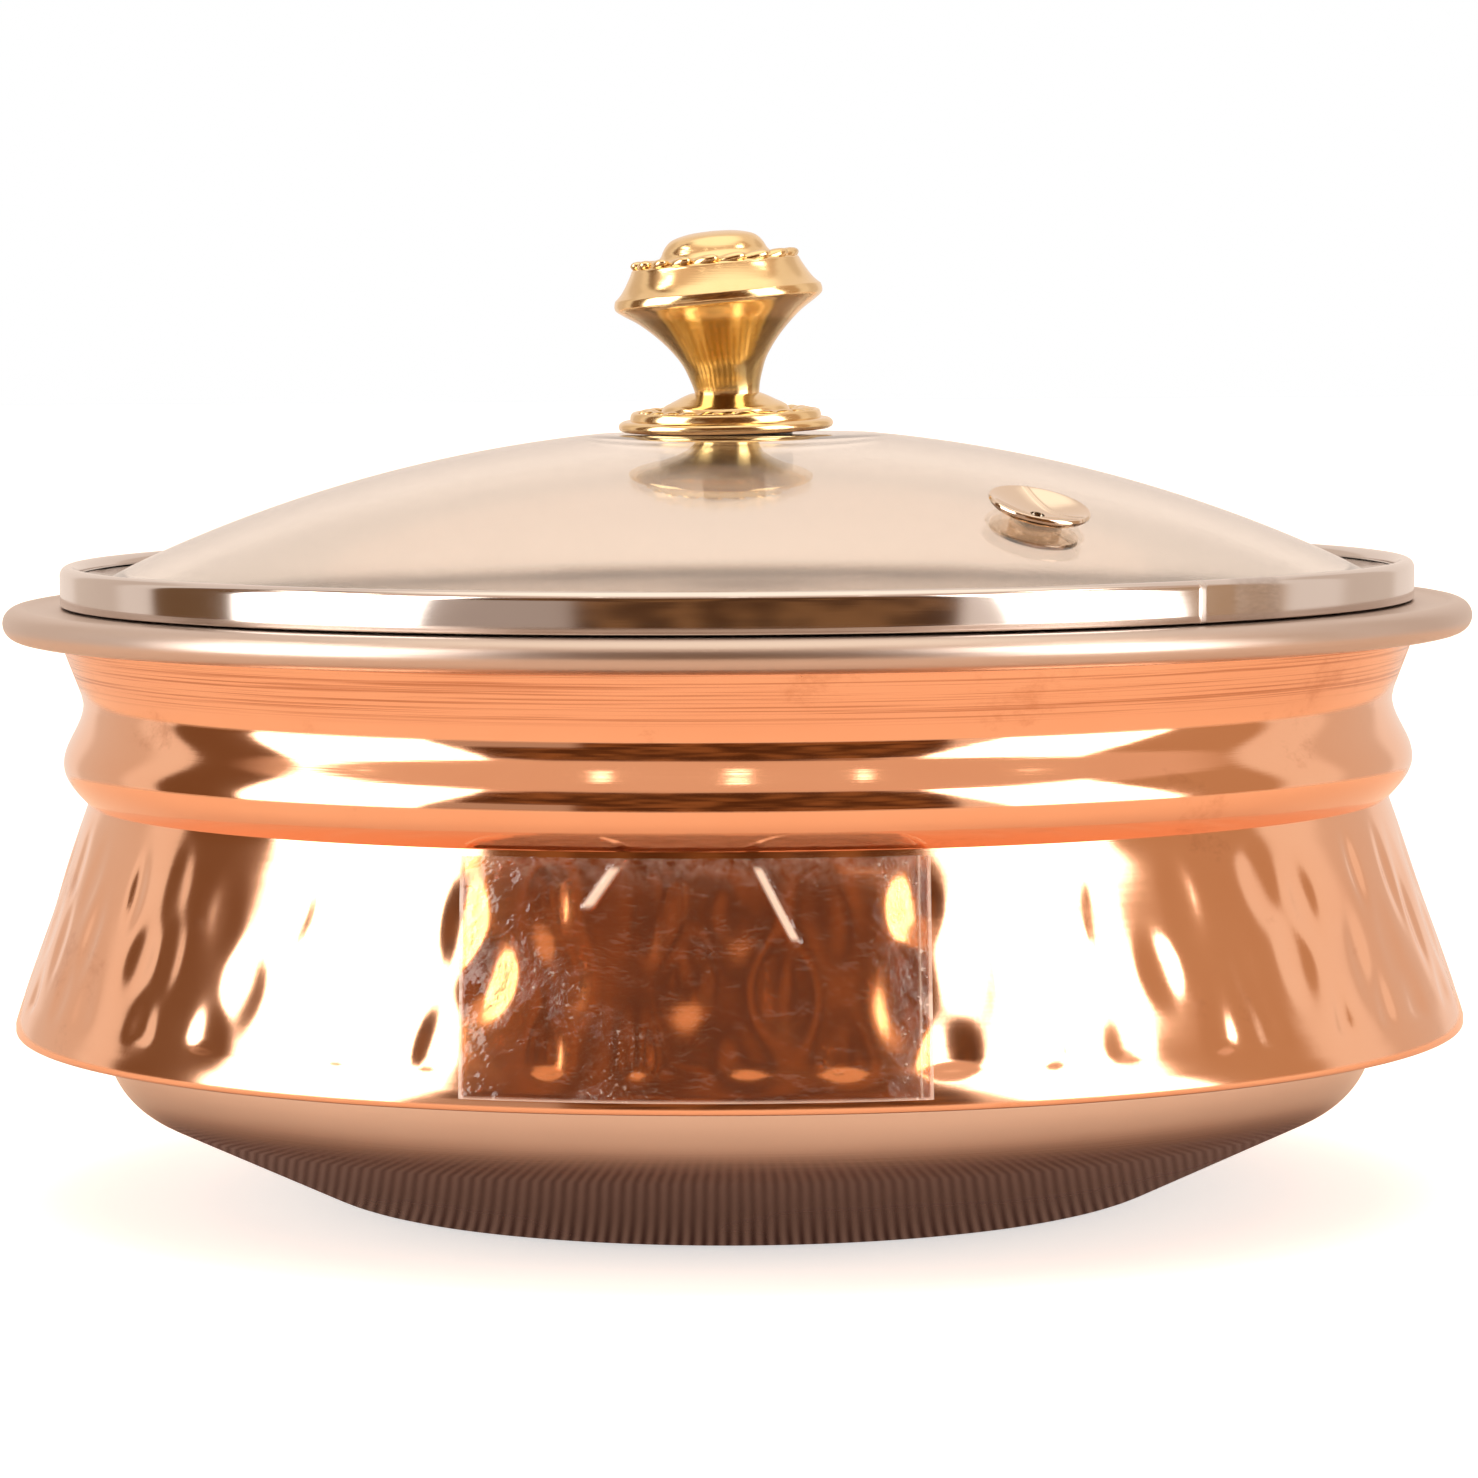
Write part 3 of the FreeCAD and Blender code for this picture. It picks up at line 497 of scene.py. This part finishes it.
# %% Clear film
CREASES = 9
FILM_GAP = 0.2
LEFT_FOLD_FOOT, RIGHT_FOLD_FOOT = 45.0, 41.0
bpy.ops.object.select_all(action="DESELECT")
bpy.ops.mesh.primitive_grid_add(x_subdivisions=220, y_subdivisions=90, size=1)
film = bpy.context.object
film.name = "film_clear"
creases = random.Random(5)
phases = [(creases.uniform(0.2, 0.9), creases.uniform(-0.8, 0.8), creases.uniform(0, 6.3))
          for _ in range(CREASES)]
for vertex in film.data.vertices:
    sideways = (vertex.co.x + 0.5) * (FILM_RIGHT - FILM_LEFT) + FILM_LEFT
    up = FILM_FOOT + (vertex.co.y + 0.5) * (FILM_TOP - FILM_FOOT)
    wall = skirt_radius(up)
    angle = math.asin(sideways / wall)
    turn = math.degrees(angle)
    arc_mm = math.radians(turn) * SKIRT_MIDDLE
    lift = sum(abs(math.sin(arc_mm * a + up * b + p)) ** 3 for a, b, p in phases) / CREASES
    left_fold, right_fold = (abs(line) for line in fold_lines(turn, up))
    fold = min(left_fold + 3 * max(0.0, LEFT_FOLD_FOOT - up),
               right_fold + 3 * max(0.0, RIGHT_FOLD_FOOT - up))
    out = wall + FILM_GAP + 0.16 * lift + 0.3 * max(0.0, 1 - fold / 0.7)
    vertex.co = Vector((math.sin(angle) * out, -math.cos(angle) * out, up)) * MM
film.data.update()
bpy.ops.object.shade_smooth()
finish_piece(film, "clear_label", film_finish)

# %% [markdown]
# The lid's glass is clear, with a faint warm tint, and wiped so that it is a little hazy in places.
# To shadow rays it is simply a tinted clear sheet, so that light still falls into the bowl.

# %% Glass finish
def make_glass():
    f = Finish("lid glass")
    haze = f.noise(30.0, (1, 1, 1), 3.0)
    glass = f.surface(Base_Color=(0.97, 0.94, 0.90), Roughness=0.03 + 0.02 * haze,
                      IOR=1.5, Transmission_Weight=1.0)
    clear = f.node("ShaderNodeBsdfTransparent", {}, {"Color": (0.93, 0.9, 0.87)})
    shadow = f.node("ShaderNodeLightPath", {}, {}, "Is Shadow Ray")
    return f.done(f.node("ShaderNodeMixShader", {}, {0: shadow, 1: glass, 2: clear}))


lid_glass_finish = make_glass()

# %% [markdown]
# The glass is a dome with a small flat crown, where the knob is screwed, and a flat edge that sits in
# the steel band. It is modelled at its real thickness, because the two faces give the knob its
# double reflection.

# %% Lid glass
DOME = 184.0
DOME_CENTRE = (0.0, 98.8 - DOME)
GLASS = 3.2
CROWN = 97.9
FOOT = 77.15


def dome_angle(radius, level):
    """Angle on a dome of this radius where it comes down to a level."""
    return math.degrees(math.asin((level - DOME_CENTRE[1]) / radius))


glass_path = [
    (0, CROWN),
    *arc(DOME_CENTRE, DOME, dome_angle(DOME, CROWN), dome_angle(DOME, FOOT + GLASS), 40),
    (85.6, FOOT + GLASS), (86.2, FOOT + GLASS - 0.6), (86.2, FOOT + 0.6), (85.6, FOOT),
    *arc(DOME_CENTRE, DOME - GLASS, dome_angle(DOME - GLASS, FOOT),
         dome_angle(DOME - GLASS, CROWN - GLASS), 40),
    (0, CROWN - GLASS),
]
glass = spin_piece("lid_domed_glass", glass_path, 256, closed=False)
finish_piece(glass, "lid_glass", lid_glass_finish)

# %% [markdown]
# The lid's band is bright steel that was pressed, so it mirrors the room with a slow waver. Its ends
# meet in a welded seam to the right of the front, with a scuffed patch beside it where the weld was
# dressed. The vent has the same finish in a warmer tint.

# %% Lid steel
SEAM = 39.3


def make_lid_steel(name, dark, bright):
    f = Finish(name)
    lines = f.noise(1.0, (30, 30, 4200), 2.0)
    smudge = f.noise(40.0, (1, 1, 2.0), 4.0)
    scuff = f.turn.band(SEAM + 3.4, SEAM + 9.0, 0.8)
    hatch = f.noise(1.0, (900, 900, 3000), 2.0)
    weld = f.turn.band(SEAM - 0.35, SEAM + 0.35, 0.2)
    rough = 0.11 + 0.12 * scuff + 0.2 * weld + 0.1 * (smudge - 0.5)
    colour = blend_colour(f.tree, smudge, dark, bright)
    colour = blend_colour(f.tree, 0.45 * scuff * hatch, colour, (0.25, 0.2, 0.17))
    waver = f.noise(13.0, (1, 1, 3), 1.0)
    height = lines * 0.4 + 0.6 * hatch * scuff + 3.0 * weld + 45.0 * waver
    skin = f.surface(Base_Color=colour, Metallic=1.0, Roughness=rough, Normal=f.bump(height, 0.012))
    return f.done(skin)


lid_steel = make_lid_steel("lid steel", (0.66, 0.60, 0.57), (0.74, 0.69, 0.66))
vent_steel = make_lid_steel("vent steel", (0.76, 0.63, 0.50), (0.84, 0.71, 0.58))

# %% [markdown]
# One strip of steel is folded round the edge of the glass: over it in a rounded lip, down its side,
# in below it, and down again as a short skirt that keeps the lid from sliding off the ledge.

# %% Lid band
BAND = 87.0
BAND_FOOT = 76.6
LIP = (85.85, 80.55)
band_path = [
    (84.7, 80.4), (85.2, 80.4), *arc(LIP, 0.65, 180, 0, 8), (86.5, 77.1), (81.2, 77.1),
    *arc((81.2, BAND_FOOT), 0.5, 90, 180, 3)[1:-1], (80.7, BAND_FOOT), (80.7, 71.25), (81.0, 71.2),
    (81.2, 71.25), (81.2, BAND_FOOT), *arc((86.65, 76.95), 0.35, -90, 0, 6), (BAND, 79.0),
    *arc(LIP, 1.15, 0, 180, 14),
]
band = spin_piece("lid_folded_band", band_path, 360)
finish_piece(band, "lid_band", lid_steel)

# %% [markdown]
# The steam vent is a steel eyelet, clenched through the glass like one in a tarpaulin. Its dished
# flange stands a little proud of the dome and has a pinhole in the middle. It is spun upright at
# the origin, and then leant over by the dome's slope and turned to its place.

# %% Vent eyelet
VENT_RADIUS, VENT_TURN = 60.2, 37.2
vent_height = DOME_CENTRE[1] + math.sqrt(DOME ** 2 - VENT_RADIUS ** 2)
lean = math.asin(VENT_RADIUS / DOME)
round_pot = Matrix.Rotation(math.radians(VENT_TURN - 90), 4, "Z")
vent_place = (round_pot @ Matrix.Translation(Vector((VENT_RADIUS, 0, vent_height)) * MM)
              @ Matrix.Rotation(lean, 4, "Y"))
vent_path = [
    (0.9, -4.4), (5.4, -4.4), (5.4, -3.9), (3.2, -3.9), (3.2, 0.15), (3.7, 0.15),
    *smooth([(3.7, 0.15), (5.0, 0.35), (6.0, 0.95), (6.35, 1.4)], 4),
    *smooth([(6.35, 1.4), (6.25, 1.68), (5.95, 1.75), (4.6, 1.22), (3.0, 0.7), (1.6, 0.38),
             (0.9, 0.3)], 4),
]
vent = spin_piece("vent_dished_eyelet", vent_path, 96, place=vent_place)
finish_piece(vent, "vent_eyelet", vent_steel)

# %% [markdown]
# The knob and the rose below it are turned from solid brass and buffed. Brass is yellower than copper.
# The neck and the flared cup are painted darker and olive, a painted shade for their dark reflection.

# %% Brass
def make_brass():
    f = Finish("buffed brass")
    lines = f.noise(1.0, (120, 120, 5200), 2.0)
    wear = f.noise(160.0, (1, 1, 1), 4.0, 0.6)
    colour = blend_colour(f.tree, wear, (0.82, 0.59, 0.29), (0.94, 0.73, 0.42))
    # The neck and the flared cup are painted darker and olive: painted shade for their dark reflection.
    cup_shade = f.z.band(0.1035, 0.1128, 0.0006)
    colour = blend_colour(f.tree, 0.75 * cup_shade, colour, (0.44, 0.32, 0.12))
    skin = f.surface(Base_Color=colour, Metallic=1.0, Roughness=0.16 + 0.08 * (wear - 0.5),
                     Normal=f.bump(lines + 0.6 * wear, 0.01))
    return f.done(skin)


brass = make_brass()

# %% [markdown]
# The knob has two rings that look like rope. A rope ring is one strand over and over, so a single
# strand is shaped from a stretched ball, leant over and copied round the ring.

# %% Rope strands
def rope_ring(name, place, radius, height, count, size, slant, rise):
    """Model one strand, lean it over and copy it round a ring."""
    bpy.ops.object.select_all(action="DESELECT")
    bpy.ops.mesh.primitive_uv_sphere_add(segments=16, ring_count=10, radius=MM)
    bead = bpy.context.object
    bead.scale = size
    bpy.ops.object.transform_apply(location=False, rotation=False, scale=True)
    bead.matrix_world = (Matrix.Translation(Vector((radius, 0, height)) * MM)
                         @ Matrix.Rotation(math.radians(slant), 4, "Z")
                         @ Matrix.Rotation(math.radians(rise), 4, "X"))
    bpy.ops.object.transform_apply(location=True, rotation=True, scale=True)
    beads = [bead]
    for k in range(1, count):
        copy = bead.copy()
        copy.data = bead.data.copy()
        copy.matrix_world = Matrix.Rotation(2 * math.pi * k / count, 4, "Z")
        bpy.context.scene.collection.objects.link(copy)
        beads.append(copy)
    bpy.ops.object.select_all(action="DESELECT")
    for item in beads:
        item.select_set(True)
    bpy.context.view_layer.objects.active = bead
    bpy.ops.object.join()
    bead.name = name
    settle(bead, place)
    bpy.ops.object.shade_smooth()
    bead.data.materials.append(brass)
    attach(bead, "root")
    print(bead.name, "has", len(bead.data.polygons), "faces")


# %% [markdown]
# The rose is the turned foot of the knob: a stepped ring, a groove in which the first rope lies, and
# a low cone up to the neck. It was screwed down a little off the middle and not quite level.

# %% Knob rose
KNOB_OFFSET = 1.3
ROSE_SEAT = 98.4
ROSE_HEIGHT = 4.7
ROSE_BORE = 2.65
ROSE_NOD, ROSE_LEAN = 1.6, -1.0
rose_place = (Matrix.Translation(Vector((-KNOB_OFFSET, 0, ROSE_SEAT)) * MM)
              @ Matrix.Rotation(math.radians(ROSE_NOD), 4, "X")
              @ Matrix.Rotation(math.radians(ROSE_LEAN), 4, "Y"))
rose_path = [
    (ROSE_BORE, 1.2), (10.5, 1.2), (10.5, 0.0), (13.3, 0.0),
    *smooth([(13.3, 0.0), (13.72, 0.25), (13.84, 0.65), (13.7, 1.05), (13.3, 1.32)], 3),
    *smooth([(13.3, 1.32), (12.75, 1.42), (12.35, 1.5)], 2),
    *smooth([(12.35, 1.5), (12.3, 1.9), (12.15, 2.3), (11.9, 2.5)], 3),
    *smooth([(11.9, 2.5), (11.6, 2.42), (11.35, 2.2), (10.0, 2.05), (8.65, 2.15), (8.3, 2.5)], 2),
    *smooth([(8.3, 2.5), (8.0, 3.0), (7.6, 3.3), (6.6, 3.75), (5.6, 4.25), (4.9, 4.55),
             (4.45, ROSE_HEIGHT)], 3),
    (ROSE_BORE, ROSE_HEIGHT),
]
rose = spin_piece("knob_rose", rose_path, 160, place=rose_place)
finish_piece(rose, "knob_base", brass)
rope_ring("rose_rope", rose_place, 10.0, 2.15, 24, (1.2, 1.75, 0.60), -24, 8)

# %% [markdown]
# The head flares up from a slim neck like a cup. It has a sharp shoulder, the second rope on the
# shoulder's shelf and a round button on top. It leans a few degrees, as the real one does.

# %% Knob head
HEAD_GAP, HEAD_SHIFT, HEAD_LEAN = 0.13, 0.2, -5.1
neck = Vector((-KNOB_OFFSET + HEAD_SHIFT, 0, ROSE_SEAT + ROSE_HEIGHT + HEAD_GAP))
head_place = Matrix.Translation(neck * MM) @ Matrix.Rotation(math.radians(HEAD_LEAN), 4, "Y")
head_path = [
    (0, 9.1), (2.1, 9.1), (2.1, -0.5), (4.1, -0.5),
    *smooth([(4.15, 0), (4.35, 1.0), (4.8, 2.4), (5.3, 3.7), (6.0, 4.9), (7.2, 6.5), (8.6, 8.0),
             (9.8, 9.1), (10.8, 9.9), (12.2, 10.8), (13.0, 11.35)], 3),
    *smooth([(13.0, 11.35), (13.38, 11.75), (13.45, 12.3), (13.3, 12.9)], 4)[1:],
    *smooth([(13.3, 12.9), (12.75, 13.4), (12.2, 14.05), (11.6, 15.0), (11.15, 15.8),
             (10.9, 16.3)], 3)[1:],
    *smooth([(10.9, 16.3), (10.75, 16.6), (10.3, 16.8), (8.3, 17.1), (7.3, 17.6)], 3)[1:],
    *smooth([(7.3, 17.6), (6.85, 18.1), (6.55, 18.7), (6.1, 19.35), (5.4, 19.95), (4.3, 20.35),
             (2.5, 20.68), (0, 20.8)], 3)[1:],
]
head = spin_piece("knob_turned_head", head_path, 160, closed=False, place=head_place)
finish_piece(head, "knob_head", brass)
rope_ring("head_rope", head_place, 9.3, 16.85, 18, (1.25, 2.6, 0.78), -26, 11)

# %% [markdown]
# The stud, the nut, the washer and the two rubber gaskets hold the knob to the glass. They are small
# and seen only through the lid, so the model's own solids stay, with finishes of their own.

# %% Knob fixings
def make_rubber():
    f = Finish("gasket rubber")
    grain = f.noise(700.0, (1, 1, 1), 3.0)
    colour = blend_colour(f.tree, grain, (0.03, 0.028, 0.026), (0.07, 0.065, 0.06))
    skin = f.surface(Base_Color=colour, Roughness=0.55 + 0.2 * grain, Normal=f.bump(grain, 0.02))
    return f.done(skin)


rubber = make_rubber()
for name, material in (("knob_stud", lid_steel), ("screw_washer", lid_steel), ("knob_nut", lid_steel),
                       ("upper_gasket", rubber), ("lower_gasket", rubber)):
    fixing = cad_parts[name]
    fixing.data.materials.clear()
    fixing.data.materials.append(material)
    print(name, "has the finish", material.name)

# %% [markdown]
# The pot stands on a wide pale floor. To the camera it is white, with a soft shadow. The steel's
# underside mirrors the few centimetres right below it, which are ribbed; there, to mirrored rays, the
# floor is painted shade: dark ribbed colours and a faint painted glow.

# %% Floor
SHADE_START, SHADE_END = 0.073, 0.090


def make_floor_finish():
    f = Finish("pale floor")
    path = f.tree.nodes.new("ShaderNodeLightPath")
    camera = Wire(f.tree, path.outputs["Is Camera Ray"])
    glossy = Wire(f.tree, path.outputs["Is Glossy Ray"])
    under = 1 - f.radius.rise(SHADE_START, SHADE_END)
    ribs = f.node("ShaderNodeTexWave", {"wave_type": "BANDS", "bands_direction": "X"},
                  {"Vector": f.place, "Scale": 210.0, "Distortion": 0.6, "Detail": 1.0})
    # Under the pot, mirrored rays see a dark ribbed cloth in painted shade, and a faint painted glow in
    # place of the light that reaches it.
    shade = blend_colour(f.tree, ribs, (0.05, 0.025, 0.018), (0.16, 0.09, 0.065))
    pale = blend_colour(f.tree, glossy, (0.80, 0.72, 0.63), (0.64, 0.48, 0.38))
    seen = blend_colour(f.tree, under * glossy, pale, shade)
    matt = f.node("ShaderNodeBsdfDiffuse", {}, {"Color": seen})
    glow = f.node("ShaderNodeEmission", {}, {"Color": (1, 1, 1), "Strength": camera * 0.62})
    painted_rib_glow = f.node("ShaderNodeEmission", {}, {
        "Color": blend_colour(f.tree, ribs, (0.055, 0.024, 0.018), (0.21, 0.125, 0.095)),
        "Strength": glossy * under})
    near = f.node("ShaderNodeAddShader", {}, {0: matt, 1: glow})
    near = f.node("ShaderNodeAddShader", {}, {0: near, 1: painted_rib_glow})
    # Far out, mirrored rays pass on to the studio's lights.
    gone = f.node("ShaderNodeBsdfTransparent", {}, {})
    return f.done(f.node("ShaderNodeMixShader", {}, {
        0: glossy * f.radius.rise(0.33, 0.5), 1: near, 2: gone}))


bpy.ops.object.select_all(action="DESELECT")
bpy.ops.mesh.primitive_plane_add(size=12, location=(0, 0, -0.00005))
floor = bpy.context.object
floor.name = "floor"
bpy.ops.object.transform_apply(location=True, rotation=True, scale=True)
floor.data.materials.append(make_floor_finish())
print("the floor is", round(floor.dimensions.x, 2), "m wide")

# %% [markdown]
# Polished metal shows the studio, so the studio is drawn in the world, by the turn and the height of
# each direction: two tall soft boxes to the left and right of the camera, a dim room between them,
# a canopy and a ceiling above with a few small lamps, and a pale warm room behind the pot with two
# faint panels. The camera itself sees plain white, and what shows through the glass is a warm white.

# %% Studio
BOX_FOOT, BOX_TOP = -30, 35.8
BOX_LIGHT = (5.2, 4.9, 4.6)
world = bpy.data.worlds.new("studio")
bpy.context.scene.world = world
world.use_nodes = True
world.node_tree.nodes.clear()


def make_studio(tree):
    where = node(tree, "ShaderNodeTexCoord", {}, {}, "Generated")
    split = tree.nodes.new("ShaderNodeSeparateXYZ")
    tree.links.new(where.socket, split.inputs[0])
    x, y, z = (Wire(tree, split.outputs[k]) for k in range(3))
    turn = x.math("ARCTAN2", y * -1.0) * math.degrees(1)
    up = z.math("ARCSINE") * math.degrees(1)
    # The soft boxes lean a little, as their edges do in the copper.
    box_height = up.band(BOX_FOOT, BOX_TOP, 1.0)
    left_box = turn.band(-91, -48, 1.2) * (1 - (turn - up * 0.19).rise(-53.5, -52.5)) * box_height
    right_box = (turn + up * 0.25).band(43.5, 77, 1.2) * box_height
    left_gap = turn.band(-114, -91, 1.5)
    right_gap = turn.band(70.5, 103, 2.5)
    front = turn.band(-48, 36.5, 1.5)
    panel = turn.band(-56, -27, 1.0) * (1 - up.rise(8, 12))
    facing = turn.band(-100, 100, 12)
    top = 35.6 - 0.06 * turn.math("ABSOLUTE") + 3.2 * turn.band(-40, 27, 5)
    canopy = facing * (up - top).rise(-1.0, 1.5)
    ceiling = up.rise(50, 66)
    lamp = turn.band(-31, -27.5, 0.4) + turn.band(-2.2, 2.2, 0.4) + turn.band(25.5, 28, 0.4)
    lamp = lamp * up.band(48.6, 50.2, 0.3)
    lamp = lamp + turn.band(-104, -78, 2) * up.band(40.5, 46, 0.8)
    lamp = lamp + turn.band(61, 84, 2) * up.band(45, 50.5, 0.8)
    clutter = node(tree, "ShaderNodeTexNoise", {}, {"Vector": where, "Scale": 9.0, "Detail": 3.0})
    dim = blend_colour(tree, clutter.rise(0.38, 0.66), (0.09, 0.036, 0.014), (0.27, 0.12, 0.045))
    back_panels = (turn.band(-150, -126, 3) + turn.band(122, 146, 3)) * up.band(-30, 34, 3)
    light = blend_colour(tree, back_panels, (0.95, 0.79, 0.68), (0.76, 0.60, 0.49))
    light = blend_colour(tree, front, light, dim)
    light = blend_colour(tree, panel, light, (0.50, 0.38, 0.31))
    light = blend_colour(tree, left_gap, light, (0.20, 0.10, 0.045))
    light = blend_colour(tree, right_gap, light, (0.56, 0.35, 0.21))
    light = blend_colour(tree, canopy, light, (0.80, 0.56, 0.42))
    light = blend_colour(tree, ceiling, light, (1.5, 1.33, 1.12))
    light = blend_colour(tree, lamp, light, (6.0, 5.4, 4.6))
    light = blend_colour(tree, left_box, light, BOX_LIGHT)
    light = blend_colour(tree, right_box, light, BOX_LIGHT)
    path = tree.nodes.new("ShaderNodeLightPath")
    camera = Wire(tree, path.outputs["Is Camera Ray"])
    through = Wire(tree, path.outputs["Is Transmission Ray"])
    light = blend_colour(tree, through, light, (1.2, 0.99, 0.84))
    light = blend_colour(tree, camera, light, (1, 1, 1))
    sky = node(tree, "ShaderNodeBackground", {}, {"Color": light, "Strength": 1.0})
    node(tree, "ShaderNodeOutputWorld", {}, {"Surface": sky})


make_studio(world.node_tree)
print("the studio has", len(world.node_tree.nodes), "nodes")

# %% [markdown]
# The world lights the pot evenly. One large lamp overhead adds the soft shadow on the floor. It is kept
# out of the reflections, where the drawn studio shows.

# %% Key light
bpy.ops.object.light_add(type="AREA", location=(0.1, -0.2, 1.4))
key = bpy.context.object
key.name = "overhead"
key.data.size = 1.2
key.data.energy = 9.0
key.data.color = (1.0, 0.95, 0.9)
key.visible_glossy = False
key.visible_transmission = False
print("the overhead lamp has", key.data.energy, "watts")

# %% [markdown]
# The camera is almost level with the lid and well back, with a long lens, so the pot looks nearly
# flat-on. It looks down by about four degrees and is rolled by a third of a degree.

# %% Camera
CAMERA_BACK, CAMERA_UP, CAMERA_SIDE = 0.772, 0.11505, 0.00013
PITCH, ROLL_OVER = 4.2, -0.35
scene = bpy.context.scene
scene.view_settings.view_transform = "Standard"
bpy.ops.object.camera_add(location=(CAMERA_SIDE, -CAMERA_BACK, CAMERA_UP))
camera = bpy.context.object
camera.name = "camera"
tilt = (Matrix.Rotation(math.radians(90 - PITCH), 4, "X")
        @ Matrix.Rotation(math.radians(ROLL_OVER), 4, "Z"))
camera.matrix_world = Matrix.Translation(camera.location) @ tilt
camera.data.sensor_width = 36.0
camera.data.lens = 145.6
camera.data.clip_start = 0.01
camera.data.clip_end = 100.0
scene.camera = camera
print("the lens is", round(camera.data.lens, 1), "mm long")
